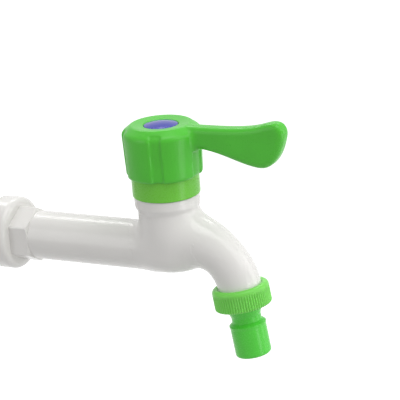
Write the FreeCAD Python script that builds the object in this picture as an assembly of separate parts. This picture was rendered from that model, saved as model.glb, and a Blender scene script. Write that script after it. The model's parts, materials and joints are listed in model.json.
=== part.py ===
import FreeCAD, Part
import math
import os

V = FreeCAD.Vector

# All sizes are in millimetres and degrees.
# The inlet axis is X, pointing away from the wall, and the spindle axis is parallel to Z.
# The origin lies on the inlet axis, in the wall side of the flange.

# Inlet: thread spigot, wall flange, wrench hexagon and pipe
spigot_length = 15.0
spigot_r = 9.32
spigot_lead = 1.2
inlet_bore_r = 6.0
flange_r = 16.5
flange_thick = 10.5
flange_edge = 2.6
flange_back_edge = 1.2
hex_flats = 22.4
hex_length = 9.6
hex_chamfer = 0.8
hex_corner_blunt = 0.2
pipe_r = 11.0
spindle_x = 88.0

# Valve chamber and neck
chamber_r = 13.2
chamber_floor_z = -10.9
chamber_low_z = -7.0
chamber_low_round = 8.0
chamber_bore_r = 10.4
neck_ring_r = 14.35
neck_ring_low_z = 20.8
neck_ring_round = 1.2
neck_flare = 2.4
neck_flare_round = 2.0
neck_thread_r = 12.7
neck_top_z = 34.0
seat_z = 8.0
seat_hole_r = 4.8
inlet_end = 5.5
pipe_fillet = 1.5
spout_fillet = 2.0

# Spout: a straight root that falls slightly, a bend, and a short straight end
spout_root_z = 6.2
spout_fall_angle = 8.56
spout_reach = 29.9
spout_bend_r = 23.5
spout_root_half_width = 12.9
spout_root_half_height = 13.7
spout_end_r = 9.6
ease_share = 0.6
bend_sections = 10
nozzle_tilt_angle = 8.28
spout_bore_r = 6.2
port_bore_r = 4.4
port_z = 10.2
port_share = 0.45
outlet_spigot_r = 10.4
outlet_spigot_length = 3.3
outlet_spigot_lead = 0.5

# Bonnet nut that clamps the cartridge
collar_r = 14.85
collar_low_z = 25.1
collar_edge = 0.4
collar_lip = 2.2
collar_gap = 0.2
thread_clearance = 0.1

# Cartridge housing
land_clearance = 0.1
barrel_r = 9.6
barrel_gap = 0.5
waist_r = 7.6
waist_low_z = 22.4
waist_top_z = 25.6
waist_slope = 0.8
housing_flange_r = 12.3
housing_flange_thick = 2.0
guide_r = 6.8
guide_drop = 0.2
guide_gap = 0.3
window_angle = 84.0
window_sill = 0.3
window_top_wall = 1.0
key_width = 3.0
key_depth = 0.7
key_clearance = 0.1

# Sealing discs and seals
disc_r = 8.2
disc_thick = 3.0
disc_clearance = 0.3
seal_r = 7.6
seal_thick = 2.5
seal_edge = 0.3
port_angle = 78.0
port_inner_r = 2.2
port_outer_r = 6.6
disc_slot_angle = 80.0
tab_inset = 0.4
housing_ring_wire = 2.1
spindle_ring_wire = 1.4
spindle_ring_rises = (7.0, 11.0)
ring_clearance = 0.04
ring_side_slack = 0.2

# Spindle
spindle_r = 4.0
running_clearance = 0.05
driver_thick = 2.8
driver_clearance = 0.5
driver_notch = 1.7
driver_hub_wall = 0.5
dog_depth = 1.2
dog_width = 3.0
dog_inset = 1.25
dog_clearance = 0.05
thrust_thick = 0.8
thrust_clearance = 0.2
clip_thick = 0.8
clip_r = 6.0
clip_groove_r = 3.2
clip_lift = 0.3
clip_slack = 0.05
clip_mouth = 4.2
spline_teeth = 20
spline_tip_r = 3.9
spline_root_r = 3.5
spline_clearance = 0.06
spline_start = 0.6
spindle_top_z = 46.9
screw_r = 2.0
screw_length = 11.0
screw_clearance = 0.03
screw_point = 0.8
screw_depth_spare = 1.0

# Handle hub with its skirt, boss and flutes
hub_low_z = 33.8
hub_low_r = 16.65
hub_shoulder_z = 53.8
hub_shoulder_r = 17.4
hub_shoulder_round = 3.0
hub_top_z = 56.9
hub_top_r = 13.2
hub_top_round = 0.8
hub_dish = 0.65
hub_low_edge = 1.5
hub_top_thick = 4.7
skirt_gap = 0.3
skirt_draft = 0.3
cavity_round = 2.0
boss_r = 6.5
boss_rise = 0.3
boss_web = 2.2
rib_thick = 1.6
rib_lift = 2.0
lobes = 5
flute_width = 5.0
flute_depth = 0.8
flute_top_r = 15.2
screw_head_r = 3.6
screw_head_height = 2.4
screw_head_round = 1.2
screw_slot_width = 0.9
screw_slot_depth = 1.3
screw_hole_clearance = 0.2
head_clearance = 0.5

# Index cap pressed into the top of the hub
cap_r = 7.5
cap_gap = 0.15
cap_recess = 1.3
cap_rim = 1.25
cap_rim_round = 0.3
cap_dome = 0.5
cap_plug_length = 2.6
cap_plug_wall = 0.9
cap_plug_clearance = 0.05

# Lever, outlined from the spindle axis
lever_thick = 7.6
lever_edge = 2.6
lever_root_r = 10.0
lever_reach = 59.2
lever_top_drop = 0.2
lever_lip_z = 60.2
lever_toe_z = 40.2
lever_root_low_z = 47.2
lever_blend = 3.0

# Outlet nut, washer and hose nipple, measured along the nozzle below the end of the bend
nut_r = 12.6
nut_rise = 1.3
nut_length = 9.5
nut_top_edge = 1.8
nut_low_edge = 0.8
nut_crest_inset = 1.35
nut_mouth = 0.1
nut_mouth_land = 0.8
nut_mouth_slope = 0.6
nut_dish = 0.8
nut_lip = 2.2
rib_count = 66
groove_depth = 0.35
groove_width = 0.7
groove_start = 2.2
washer_thick = 1.4
washer_clearance = 0.4
washer_hole_r = 6.2
nipple_flange_r = 10.1
nipple_bore_r = 5.2
nipple_r = 7.95
nipple_shoulder_r = 7.9
nipple_shoulder_draft = 0.3
nipple_shoulder = 0.9
nipple_neck = 3.6
nipple_groove_r = 6.55
nipple_groove = 2.3
nipple_bead_r = 8.2
nipple_bead = 1.3
nipple_flank = 1.4
nipple_length = 14.4
nipple_end_round = 1.4
nipple_round = 0.3
nipple_gap = 0.2

# How far cutting solids run past the faces that they open, and joined solids reach into each other
past = 1.0
sink = 0.5

# Heights worked out from the sizes above
fixed_low = seat_z + seal_thick
moving_low = fixed_low + disc_thick
driver_low = moving_low + disc_thick
driver_top = driver_low + driver_thick
thrust_top = driver_top + thrust_thick
disc_cavity_r = disc_r + disc_clearance
housing_ring_z = (waist_top_z + neck_top_z) / 2
under_lip = neck_top_z + housing_flange_thick
collar_top_z = under_lip + collar_lip
guide_top_z = collar_top_z - guide_drop
clip_low = guide_top_z + clip_lift
spline_low = clip_low + clip_thick + spline_start
boss_low_z = spline_low + boss_rise
screw_head_z = spindle_top_z + boss_web
screw_tip_z = screw_head_z - screw_length
hub_ceiling_z = hub_top_z - hub_top_thick
cap_seat_z = hub_top_z - hub_dish - cap_recess
cap_edge_z = cap_seat_z + cap_rim
thread_top = nut_rise - nut_dish - nut_mouth_land - nut_mouth_slope
nut_low = nut_rise - nut_length


def rounded_wire(corners):
    """Closed wire in the XZ plane through corners (x, z, radius), each rounded by its radius."""
    count = len(corners)
    points = [V(x, 0, z) for x, z, _ in corners]
    starts, middles, ends = [], [], []
    for i in range(count):
        here, radius = points[i], corners[i][2]
        back = (points[i - 1] - here).normalize()
        ahead = (points[(i + 1) % count] - here).normalize()
        half = back.getAngle(ahead) / 2
        reach = radius / math.tan(half)
        starts.append(here + back * reach)
        ends.append(here + ahead * reach)
        middles.append(here + (back + ahead).normalize() * (radius / math.sin(half) - radius))
    edges = []
    for i in range(count):
        if corners[i][2] > 0:
            edges.append(Part.Arc(starts[i], middles[i], ends[i]).toShape())
        following = starts[(i + 1) % count]
        if ends[i].distanceToPoint(following) > 1e-6:
            edges.append(Part.makeLine(ends[i], following))
    return Part.Wire(edges)


def turned(corners):
    """Solid of revolution about Z; each corner is (radius, height) or (radius, height, rounding)."""
    full = [(c[0], c[1], c[2] if len(c) > 2 else 0) for c in corners]
    face = Part.Face(rounded_wire(full))
    return face.revolve(V(0, 0, 0), V(0, 0, 1), 360)


def tube(outer_r, inner_r, low, high):
    """Plain ring about Z between two heights."""
    return turned([(inner_r, low), (outer_r, low), (outer_r, high), (inner_r, high)])


def rod(radius, low, high):
    """Plain cylinder about Z between two heights."""
    return Part.makeCylinder(radius, high - low, V(0, 0, low))


def sector(angle, middle, radius, low, high):
    """Pie slice about Z, centred on the direction given in degrees."""
    slice_shape = Part.makeCylinder(radius, high - low, V(0, 0, low), V(0, 0, 1), angle)
    slice_shape.rotate(V(0, 0, 0), V(0, 0, 1), middle - angle / 2)
    return slice_shape


def block(x0, x1, width, low, high):
    """Box from x0 to x1, centred on Y, between two heights."""
    return Part.makeBox(x1 - x0, width, high - low, V(x0, -width / 2, low))


def around(shape, angles):
    """Copies of a shape turned about Z by each angle."""
    copies = []
    for angle in angles:
        copy = shape.copy()
        copy.rotate(V(0, 0, 0), V(0, 0, 1), angle)
        copies.append(copy)
    return copies


def ring(wire, outer_r, z):
    """Round-section seal about Z with the given outer radius."""
    return Part.makeTorus(outer_r - wire / 2, wire / 2, V(0, 0, z))


def on_spindle(shape):
    """Move a shape built about Z onto the spindle axis."""
    shape.translate(V(spindle_x, 0, 0))
    return shape


def on_inlet(shape):
    """Turn a shape built about Z so that its Z lies along the inlet axis."""
    shape.rotate(V(0, 0, 0), V(0, 1, 0), 90)
    return shape


def on_nozzle(shape):
    """Move a shape built about Z onto the nozzle axis, with its origin at the end of the bend."""
    shape.rotate(V(0, 0, 0), V(0, 1, 0), -nozzle_tilt_angle)
    shape.translate(bend_end)
    return shape


def heading(angle):
    """Unit vector in the XZ plane that points this many degrees below level."""
    return V(math.cos(math.radians(angle)), 0, -math.sin(math.radians(angle)))


def bend_point(angle):
    """Point of the spout's centre line where it points this many degrees below level."""
    across = heading(angle)
    return bend_centre - V(across.z, 0, -across.x) * spout_bend_r


# Centre line of the spout: the fall line is tangent to the bend, which ends at the nozzle
spout_drop = 90 - nozzle_tilt_angle
spout_turn = math.radians(spout_drop - spout_fall_angle)
bend_tangent = spout_bend_r * math.tan(spout_turn / 2)
fall_line = heading(spout_fall_angle)
spout_root = V(spindle_x, 0, spout_root_z)
spout_corner = spout_root + fall_line * (spout_reach / fall_line.x)
bend_start = spout_corner - fall_line * bend_tangent
bend_centre = bend_start + V(fall_line.z, 0, -fall_line.x) * spout_bend_r
bend_end = bend_point(spout_drop)
straight_run = bend_start.distanceToPoint(spout_root)
bend_run = spout_bend_r * spout_turn


def spout_shell():
    """Outer skin of the spout: sections along the fall line and the bend, easing to a circle."""
    stations = [(spout_root, spout_fall_angle, 0.0)]
    for i in range(bend_sections + 1):
        share = i / bend_sections
        angle = spout_fall_angle + share * (spout_drop - spout_fall_angle)
        stations.append((bend_point(angle), angle, straight_run + share * bend_run))
    wires = []
    for centre, angle, run in stations:
        ease = min(1.0, run / (straight_run + ease_share * bend_run))
        ease = ease * ease * (3 - 2 * ease)
        half_width = spout_root_half_width + ease * (spout_end_r - spout_root_half_width)
        half_height = spout_root_half_height + ease * (spout_end_r - spout_root_half_height)
        up = V(math.sin(math.radians(angle)), 0, math.cos(math.radians(angle)))
        if ease < 1:
            section = Part.Ellipse(centre + up * half_height, centre + V(0, half_width, 0), centre)
        else:
            section = Part.Circle(centre, heading(angle), spout_end_r)
        wires.append(Part.Wire(section.toShape()))
    return Part.makeLoft(wires, True, False)


def spout_passage():
    """Water way: a port that falls from the chamber, then a bore that follows the bend to the end."""
    meet = spout_drop * port_share
    bend_low = bend_point(meet)
    port_start = V(spindle_x + chamber_bore_r - past, 0, port_z)
    along = bend_low - port_start
    port = Part.makeCylinder(port_bore_r, along.Length, port_start, along)
    joint = Part.makeSphere(spout_bore_r, bend_low)
    circle = Part.Face(Part.Wire(Part.makeCircle(spout_bore_r, bend_low, heading(meet))))
    bend = circle.revolve(bend_centre, V(0, 1, 0), spout_drop - meet)
    end = on_nozzle(rod(spout_bore_r, -outlet_spigot_length - past, 0))
    return [port, joint, bend, end]


def wrench_hexagon():
    """Hexagon with a corner up, its outer end chamfered on a cone."""
    corner_r = hex_flats / math.sqrt(3)
    blunt_r = corner_r - hex_corner_blunt
    low = flange_thick / 2
    high = flange_thick + hex_length
    corners = []
    for i in range(7):
        angle = math.radians(60 * i)
        corners.append(V(corner_r * math.cos(angle), corner_r * math.sin(angle), low))
    prism = Part.Face(Part.makePolygon(corners)).extrude(V(0, 0, high - low))
    envelope = turned([
        (0, 0), (blunt_r, 0), (blunt_r, high - hex_chamfer), (hex_flats / 2, high), (0, high)])
    return prism.common(envelope)


def body():
    """White moulding: spigot, flange, hexagon, pipe, valve chamber, neck, spout and outlet spigot."""
    spigot = on_inlet(turned([
        (0, -spigot_length), (spigot_r - spigot_lead, -spigot_length),
        (spigot_r, -spigot_length + spigot_lead), (spigot_r, sink), (0, sink)]))
    flange = on_inlet(turned([
        (0, 0), (flange_r, 0, flange_back_edge), (flange_r, flange_thick, flange_edge), (0, flange_thick)]))
    pipe = on_inlet(rod(pipe_r, flange_thick / 2, spindle_x))
    pipe_end = Part.makeSphere(pipe_r, V(spindle_x, 0, 0), V(1, 0, 0))
    pipe = pipe.fuse(pipe_end).removeSplitter()
    hexagon = on_inlet(wrench_hexagon())
    ring_top = collar_low_z - collar_gap
    chamber = turned([
        (0, chamber_floor_z), (chamber_r, chamber_low_z, chamber_low_round),
        (chamber_r, neck_ring_low_z - neck_flare, neck_flare_round),
        (neck_ring_r, neck_ring_low_z, neck_ring_round), (neck_ring_r, ring_top), (0, ring_top)])
    chamber.rotate(V(0, 0, 0), V(0, 0, 1), 90)
    skin = on_spindle(chamber).fuse([pipe, spout_shell()]).removeSplitter()
    skin = skin.makeFillet(pipe_fillet, joins(skin, -1))
    skin = skin.makeFillet(spout_fillet, joins(skin, 1))
    neck = on_spindle(rod(neck_thread_r, 0, neck_top_z))
    outlet = on_nozzle(turned([
        (0, -outlet_spigot_length), (outlet_spigot_r - outlet_spigot_lead, -outlet_spigot_length),
        (outlet_spigot_r, outlet_spigot_lead - outlet_spigot_length),
        (outlet_spigot_r, thread_top - nut_mouth_slope), (spout_end_r, thread_top),
        (spout_end_r - nut_mouth, sink), (0, sink)]))
    solid = skin.fuse([neck, spigot, flange, hexagon, outlet])
    cuts = spout_passage()
    cuts.append(on_spindle(rod(chamber_bore_r, seat_z, neck_top_z + past)))
    cuts.append(on_spindle(rod(seat_hole_r, 0, seat_z + past)))
    cuts.append(on_inlet(rod(inlet_bore_r, -spigot_length - past, spindle_x + inlet_end)))
    return solid.cut(cuts).removeSplitter()


def joins(skin, side):
    """Edges where the pipe (side -1) or the spout (side 1) meets the chamber."""
    found = []
    for edge in skin.Edges:
        box = edge.BoundBox
        level_or_seam = min(box.XLength, box.YLength, box.ZLength) < 0.01
        offset = (box.Center.x - spindle_x) * side
        if not level_or_seam and 0 < offset < neck_ring_r:
            found.append(edge)
    return found


def bonnet_nut():
    """Smooth green collar, threaded inside, with a lip that clamps the cartridge flange."""
    inner = neck_thread_r + thread_clearance
    hole = guide_r + guide_gap
    return on_spindle(turned([
        (inner, collar_low_z), (collar_r, collar_low_z, collar_edge), (collar_r, collar_top_z, collar_edge),
        (hole, collar_top_z), (hole, under_lip), (inner, under_lip)]))


def cartridge_housing():
    """Barrel for the discs with two side windows, a sealed land in the neck, a flange and a guide."""
    land_r = chamber_bore_r - land_clearance
    half = housing_ring_wire / 2 + ring_side_slack
    groove_r = chamber_bore_r - housing_ring_wire - 2 * ring_clearance
    guide_hole = spindle_r + running_clearance
    low = seat_z + barrel_gap
    shell = turned([
        (disc_cavity_r, low), (barrel_r, low), (barrel_r, waist_low_z - waist_slope), (waist_r, waist_low_z),
        (waist_r, waist_top_z - waist_slope), (land_r, waist_top_z), (land_r, housing_ring_z - half),
        (groove_r, housing_ring_z - half), (groove_r, housing_ring_z + half), (land_r, housing_ring_z + half),
        (land_r, neck_top_z), (housing_flange_r, neck_top_z), (housing_flange_r, under_lip),
        (guide_r, under_lip), (guide_r, guide_top_z), (guide_hole, guide_top_z), (guide_hole, thrust_top),
        (disc_cavity_r, thrust_top)])
    window_low = moving_low + window_sill
    window_high = thrust_top - window_top_wall
    windows = [sector(window_angle, side, barrel_r + past, window_low, window_high) for side in (90, -90)]
    slot_width = key_width + 2 * key_clearance
    slot = block(disc_r - key_depth, barrel_r + past, slot_width, low - past, moving_low - tab_inset / 2)
    return on_spindle(shell.cut(windows + around(slot, [0, 180])))


def housing_o_ring():
    """Seal between the cartridge and the neck bore."""
    return on_spindle(ring(housing_ring_wire, chamber_bore_r - ring_clearance, housing_ring_z))


def spindle_o_ring(rise):
    """Seal between the spindle and its guide, at a rise above the thrust face."""
    return on_spindle(ring(spindle_ring_wire, spindle_r, thrust_top + rise))


def seat_seal():
    """Rubber ring between the seat and the fixed disc."""
    return on_spindle(turned([
        (seat_hole_r, seat_z), (seal_r, seat_z, seal_edge), (seal_r, fixed_low, seal_edge),
        (seat_hole_r, fixed_low)]))


def disc_ports(low, high):
    """Two opposite port openings, each a slice of a ring."""
    openings = []
    for side in (90, -90):
        wedge = sector(port_angle, side, port_outer_r, low, high)
        openings.append(wedge.cut(rod(port_inner_r, low - past, high + past)))
    return openings


def fixed_disc():
    """Ceramic disc with two ports and two key tabs that stop it from turning."""
    plate = rod(disc_r, fixed_low, moving_low)
    tab_low, tab_high = fixed_low + tab_inset, moving_low - tab_inset
    tab = block(disc_r - past, barrel_r - key_clearance, key_width, tab_low, tab_high)
    plate = plate.fuse(around(tab, [0, 180]))
    return on_spindle(plate.cut(disc_ports(fixed_low - past, moving_low + past)).removeSplitter())


def moving_disc():
    """Ceramic disc cut away on two sides, with two recesses for the spindle's dogs."""
    plate = rod(disc_r, moving_low, driver_low)
    cuts = []
    for side in (0, 180):
        wedge = sector(disc_slot_angle, side, disc_r + past, moving_low - past, driver_low + past)
        cuts.append(wedge.cut(rod(port_inner_r, moving_low - 2 * past, driver_low + 2 * past)))
    recess = dog_shape(dog_clearance, driver_low + past)
    return on_spindle(plate.cut(cuts + around(recess, [90, -90])))


def dog_shape(growth, high):
    """Driving dog under the spindle's plate, larger all round by the growth."""
    inner = port_inner_r + dog_inset - growth
    return block(inner, port_outer_r + growth, dog_width + 2 * growth, driver_low - dog_depth - growth, high)


def thrust_washer():
    """Slippery ring between the spindle's driver and the housing."""
    return on_spindle(tube(disc_r - thrust_clearance, spindle_r + thrust_clearance, driver_top, thrust_top))


def spindle():
    """Driver plate with two dogs, grooved shaft, and a splined top with a screw hole."""
    driver_r = disc_cavity_r - driver_clearance
    shaft = turned([
        (0, driver_low), (driver_r, driver_low), (driver_r, driver_top), (spindle_r, driver_top),
        (spindle_r, spline_low), (0, spline_low)])
    kept = rod(spindle_r + driver_hub_wall, driver_low - 2 * past, driver_top)
    notches = []
    for side in (0, 180):
        notch = sector(disc_slot_angle, side, disc_r + past, driver_low - past, driver_low + driver_notch)
        notches.append(notch.cut(kept))
    dogs = around(dog_shape(0, driver_low + sink), [90, -90])
    spline = splined(0, spline_low - sink, spindle_top_z)
    cuts = []
    half = spindle_ring_wire / 2 + ring_side_slack
    groove_r = spindle_r - spindle_ring_wire - ring_clearance
    for rise in spindle_ring_rises:
        z = thrust_top + rise
        cuts.append(tube(spindle_r + past, groove_r, z - half, z + half))
    clip_top = clip_low + clip_thick
    cuts.append(tube(spindle_r + past, clip_groove_r, clip_low - clip_slack, clip_top + clip_slack))
    cuts.append(rod(screw_r + screw_clearance, screw_tip_z - screw_depth_spare, spindle_top_z + past))
    solid = shaft.cut(notches).fuse([spline] + dogs)
    return on_spindle(solid.cut(cuts).removeSplitter())


def splined(growth, low, high):
    """Toothed rod about Z: straight flanks between the root and tip circles, larger by the growth."""
    points = []
    for i in range(spline_teeth * 2):
        radius = (spline_tip_r if i % 2 == 0 else spline_root_r) + growth
        angle = math.pi * i / spline_teeth
        points.append(V(radius * math.cos(angle), radius * math.sin(angle), low))
    points.append(points[0])
    return Part.Face(Part.makePolygon(points)).extrude(V(0, 0, high - low))


def retaining_ring():
    """Open spring ring that keeps the spindle in its guide."""
    washer = tube(clip_r, clip_groove_r, clip_low, clip_low + clip_thick)
    mouth = block(0, clip_r + past, clip_mouth, clip_low - past, clip_low + clip_thick + past)
    return on_spindle(washer.cut(around(mouth, [90])))


def hub_profile(inset):
    """Outline of the hub from the axis out: low edge, tapered wall, chamfer and dished top."""
    return [(0, hub_low_z), (hub_low_r - inset, hub_low_z, hub_low_edge),
            (hub_shoulder_r - inset, hub_shoulder_z, hub_shoulder_round),
            (hub_top_r, hub_top_z - inset, hub_top_round),
            (cap_r + cap_gap, hub_top_z - hub_dish - inset), (0, hub_top_z - hub_dish - inset)]


def lever():
    """Paddle lever: a level top that sweeps up to a lip, a blunt end and a hanging toe.

    Each point is a share of the run from root to tip, a level, and a rise as a share of the paddle's height.
    """
    level = hub_top_z - lever_top_drop
    belly = lever_root_low_z
    top = [(0, level, 0), (0.16, level, 0), (0.41, level, 0.005), (0.63, level, 0.04),
           (0.78, lever_lip_z, -0.065), (0.885, lever_lip_z, 0)]
    end = [(0.96, lever_lip_z, -0.03), (1, lever_lip_z, -0.17), (0.992, lever_lip_z, -0.39),
           (0.953, lever_toe_z, 0.35), (0.894, lever_toe_z, 0.14)]
    low = [(0.803, lever_toe_z, 0), (0.7, lever_toe_z, 0.005), (0.488, lever_toe_z, 0.15),
           (0.285, belly, -0.06), (0.142, belly, -0.01), (0, belly, 0)]
    run = lever_reach - lever_root_r
    height = lever_lip_z - lever_toe_z
    points = [V(lever_root_r + run * share, 0, z + height * rise) for share, z, rise in top + end + low]
    outline = Part.BSplineCurve()
    outline.interpolate(points)
    face = Part.Face(Part.Wire([outline.toShape(), Part.makeLine(points[-1], points[0])]))
    blade = face.extrude(V(0, lever_thick, 0))
    blade.translate(V(0, -lever_thick / 2, 0))
    rims = [e for e in blade.Edges if e.BoundBox.YLength < 0.01 and e.BoundBox.XMax > lever_root_r + 1]
    return blade.makeFillet(lever_edge, rims)


def handle():
    """Green handle: fluted hub with a skirt, splined boss and ribs inside, and the lever."""
    hub = turned(hub_profile(0))
    hub.rotate(V(0, 0, 0), V(0, 0, 1), 180)
    outer = hub.fuse(lever()).removeSplitter()
    outer = outer.makeFillet(lever_blend, lever_joins(outer))
    pitch = 360 / lobes
    reach = hub_shoulder_r + past
    flute = block(flute_top_r, reach, flute_width, hub_low_z - past, hub_top_z)
    under = block(flute_top_r, reach, lever_thick, hub_low_z - past, lever_root_low_z - lever_blend / 2)
    core = turned(hub_profile(flute_depth))
    flutes = [under] + around(flute, [pitch * i for i in range(1, lobes)])
    outer = outer.cut([f.cut(core) for f in flutes])
    inner_low_r = collar_r + skirt_gap
    cavity = turned([
        (0, hub_low_z - past), (inner_low_r, hub_low_z - past), (inner_low_r, collar_top_z),
        (inner_low_r - skirt_draft, hub_ceiling_z, cavity_round), (0, hub_ceiling_z)])
    boss = rod(boss_r, boss_low_z, hub_ceiling_z + sink)
    rib = block(boss_r - past, inner_low_r + sink, rib_thick, collar_top_z + rib_lift, hub_ceiling_z + sink)
    ribs = around(rib, [pitch * (i + 0.5) for i in range(lobes)])
    solid = outer.cut(cavity).fuse([boss] + ribs)
    solid = solid.cut([
        splined(spline_clearance, boss_low_z - past, spindle_top_z),
        rod(screw_r + screw_hole_clearance, spindle_top_z - past, hub_top_z),
        rod(screw_head_r + head_clearance, screw_head_z, hub_top_z),
        rod(cap_r + cap_gap, cap_seat_z, hub_top_z + past)])
    return on_spindle(solid.removeSplitter())


def lever_joins(outer):
    """Edges where the lever's sides and belly meet the hub's wall, shoulder and top."""
    found = []
    for edge in outer.Edges:
        box = edge.BoundBox
        near = hub_top_r - 1 < box.XMin and box.XMax < hub_shoulder_r + 0.5
        inside = abs(box.YMin) < lever_thick / 2 + 0.01 and abs(box.YMax) < lever_thick / 2 + 0.01
        if near and inside and box.ZMin > lever_root_low_z - 2:
            found.append(edge)
    return found


def handle_screw():
    """Pan head screw that holds the handle down on the spindle."""
    top = screw_head_z + screw_head_height
    solid = turned([
        (0, screw_tip_z), (screw_r - screw_point / 2, screw_tip_z), (screw_r, screw_tip_z + screw_point),
        (screw_r, screw_head_z), (screw_head_r, screw_head_z), (screw_head_r, top, screw_head_round),
        (0, top)])
    half = screw_head_r * 0.6
    slot = block(-half, half, screw_slot_width, top - screw_slot_depth, top + past)
    return on_spindle(solid.cut(around(slot, [0, 90])))


def index_cap():
    """Domed blue button with a hollow plug that presses into the screw well."""
    plug_r = screw_head_r + head_clearance - cap_plug_clearance
    button = turned([
        (0, cap_seat_z), (cap_r, cap_seat_z), (cap_r, cap_edge_z, cap_rim_round), (0, cap_edge_z)])
    dome_r = cap_r - cap_rim_round
    ball_r = (dome_r ** 2 + cap_dome ** 2) / (2 * cap_dome)
    dome = Part.makeSphere(ball_r, V(0, 0, cap_edge_z + cap_dome - ball_r))
    dome = dome.common(rod(dome_r + sink, cap_edge_z, cap_edge_z + cap_dome + past))
    plug = tube(plug_r, plug_r - cap_plug_wall, cap_seat_z - cap_plug_length, cap_seat_z + cap_rim / 2)
    return on_spindle(button.fuse([dome, plug]).removeSplitter())


def outlet_nut():
    """Green ribbed nut that holds the hose nipple on the outlet spigot."""
    inner = outlet_spigot_r + running_clearance
    mouth_r = spout_end_r + nut_mouth
    mouth = nut_rise - nut_dish
    hole = nipple_shoulder_r + nipple_shoulder_draft + nipple_gap
    shell = turned([
        (hole, nut_low), (nut_r, nut_low, nut_low_edge), (nut_r, nut_rise, nut_top_edge),
        (nut_r - nut_crest_inset, nut_rise), (mouth_r, mouth), (mouth_r, mouth - nut_mouth_land),
        (inner, thread_top), (inner, nut_low + nut_lip), (hole, nut_low + nut_lip)])
    outer = nut_r + groove_depth
    root = V(nut_r - groove_depth, 0, 0)
    corners = [root, V(outer, groove_width, 0), V(outer, -groove_width, 0), root]
    groove = Part.Face(Part.makePolygon(corners)).extrude(V(0, 0, nut_length))
    groove.translate(V(0, 0, nut_low - groove_start))
    return on_nozzle(shell.cut(around(groove, [360 * i / rib_count for i in range(rib_count)])))


def nipple_washer():
    """Flat rubber ring between the outlet spigot and the nipple's flange."""
    top = -outlet_spigot_length
    return on_nozzle(tube(outlet_spigot_r - washer_clearance, washer_hole_r, top - washer_thick, top))


def hose_nipple():
    """Green quick-connect nipple: inner flange, shoulder, groove, tapered bead, barrel and rounded end."""
    flange_low = nut_low + nut_lip
    flange_top = -outlet_spigot_length - washer_thick
    shoulder = nut_low - nipple_shoulder
    groove_top = shoulder - nipple_neck
    groove_low = groove_top - nipple_groove
    bead = groove_low - nipple_flank
    end = bead - nipple_length
    return on_nozzle(turned([
        (nipple_bore_r, flange_top), (nipple_flange_r, flange_top), (nipple_flange_r, flange_low),
        (nipple_shoulder_r + nipple_shoulder_draft, flange_low), (nipple_shoulder_r, shoulder, nipple_round),
        (nipple_groove_r, groove_top, nipple_round), (nipple_groove_r, groove_low, nipple_round),
        (nipple_bead_r, bead, nipple_round), (nipple_r, bead - nipple_bead),
        (nipple_r, end, nipple_end_round), (nipple_bore_r, end, nipple_round)]))


pieces = {
    "body": body(),
    "bonnet_nut": bonnet_nut(),
    "cartridge_housing": cartridge_housing(),
    "housing_o_ring": housing_o_ring(),
    "seat_seal": seat_seal(),
    "fixed_disc": fixed_disc(),
    "moving_disc": moving_disc(),
    "thrust_washer": thrust_washer(),
    "spindle": spindle(),
    "spindle_o_ring_lower": spindle_o_ring(spindle_ring_rises[0]),
    "spindle_o_ring_upper": spindle_o_ring(spindle_ring_rises[1]),
    "retaining_ring": retaining_ring(),
    "handle": handle(),
    "handle_screw": handle_screw(),
    "index_cap": index_cap(),
    "outlet_nut": outlet_nut(),
    "nipple_washer": nipple_washer(),
    "hose_nipple": hose_nipple(),
}

os.makedirs("parts", exist_ok=True)
for name, shape in pieces.items():
    shape.exportStep(os.path.join("parts", name + ".step"))
    box = shape.BoundBox
    print(name, len(shape.Solids), "solid, valid", shape.isValid(), round(shape.Volume, 1),
          [round(v, 2) for v in (box.XMin, box.XMax, box.YMin, box.YMax, box.ZMin, box.ZMax)])
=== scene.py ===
import json
import math
from collections import namedtuple

import bpy
import numpy as np
from bpy.props import FloatProperty, IntProperty, PointerProperty, StringProperty
from mathutils import Matrix, Vector


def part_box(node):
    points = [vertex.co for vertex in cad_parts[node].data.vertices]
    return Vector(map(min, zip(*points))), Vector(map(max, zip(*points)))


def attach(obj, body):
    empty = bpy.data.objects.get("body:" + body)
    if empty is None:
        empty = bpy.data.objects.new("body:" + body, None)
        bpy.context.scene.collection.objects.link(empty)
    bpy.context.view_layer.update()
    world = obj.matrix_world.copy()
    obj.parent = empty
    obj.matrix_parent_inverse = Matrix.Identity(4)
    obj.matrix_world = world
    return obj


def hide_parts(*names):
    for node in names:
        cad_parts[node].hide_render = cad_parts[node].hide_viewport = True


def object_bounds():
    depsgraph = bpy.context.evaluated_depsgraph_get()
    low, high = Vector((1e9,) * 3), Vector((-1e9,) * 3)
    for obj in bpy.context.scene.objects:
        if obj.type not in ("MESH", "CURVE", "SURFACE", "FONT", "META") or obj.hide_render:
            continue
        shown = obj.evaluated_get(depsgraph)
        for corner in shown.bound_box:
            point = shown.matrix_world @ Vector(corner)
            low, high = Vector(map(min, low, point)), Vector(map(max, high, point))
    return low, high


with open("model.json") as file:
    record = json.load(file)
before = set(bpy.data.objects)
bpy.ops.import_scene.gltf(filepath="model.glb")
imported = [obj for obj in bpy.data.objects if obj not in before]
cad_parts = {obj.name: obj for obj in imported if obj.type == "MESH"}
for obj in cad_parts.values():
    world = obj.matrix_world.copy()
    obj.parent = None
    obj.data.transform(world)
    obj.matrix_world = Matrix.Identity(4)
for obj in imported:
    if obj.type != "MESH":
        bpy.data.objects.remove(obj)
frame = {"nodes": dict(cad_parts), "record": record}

bl_info = {
    "name": "Plastic Faucet",
    "version": (1, 0, 0),
    "blender": (4, 5, 0),
    "location": "View3D > Sidebar > Faucet",
    "description": "Dresses the faucet with its moulded plastics, thread, ribs and button in a plain studio",
    "category": "Add Mesh",
}

MM = 0.001
CAD_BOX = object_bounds()
MOUNTS = {mount["name"]: mount for mount in frame["record"]["mounts"]}
HINGE = np.array(frame["record"]["behaviour"]["joints"][0]["pos_m"])
FIXED_BODY = "faucet_body"
TURNING_BODY = "handle_body"


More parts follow.
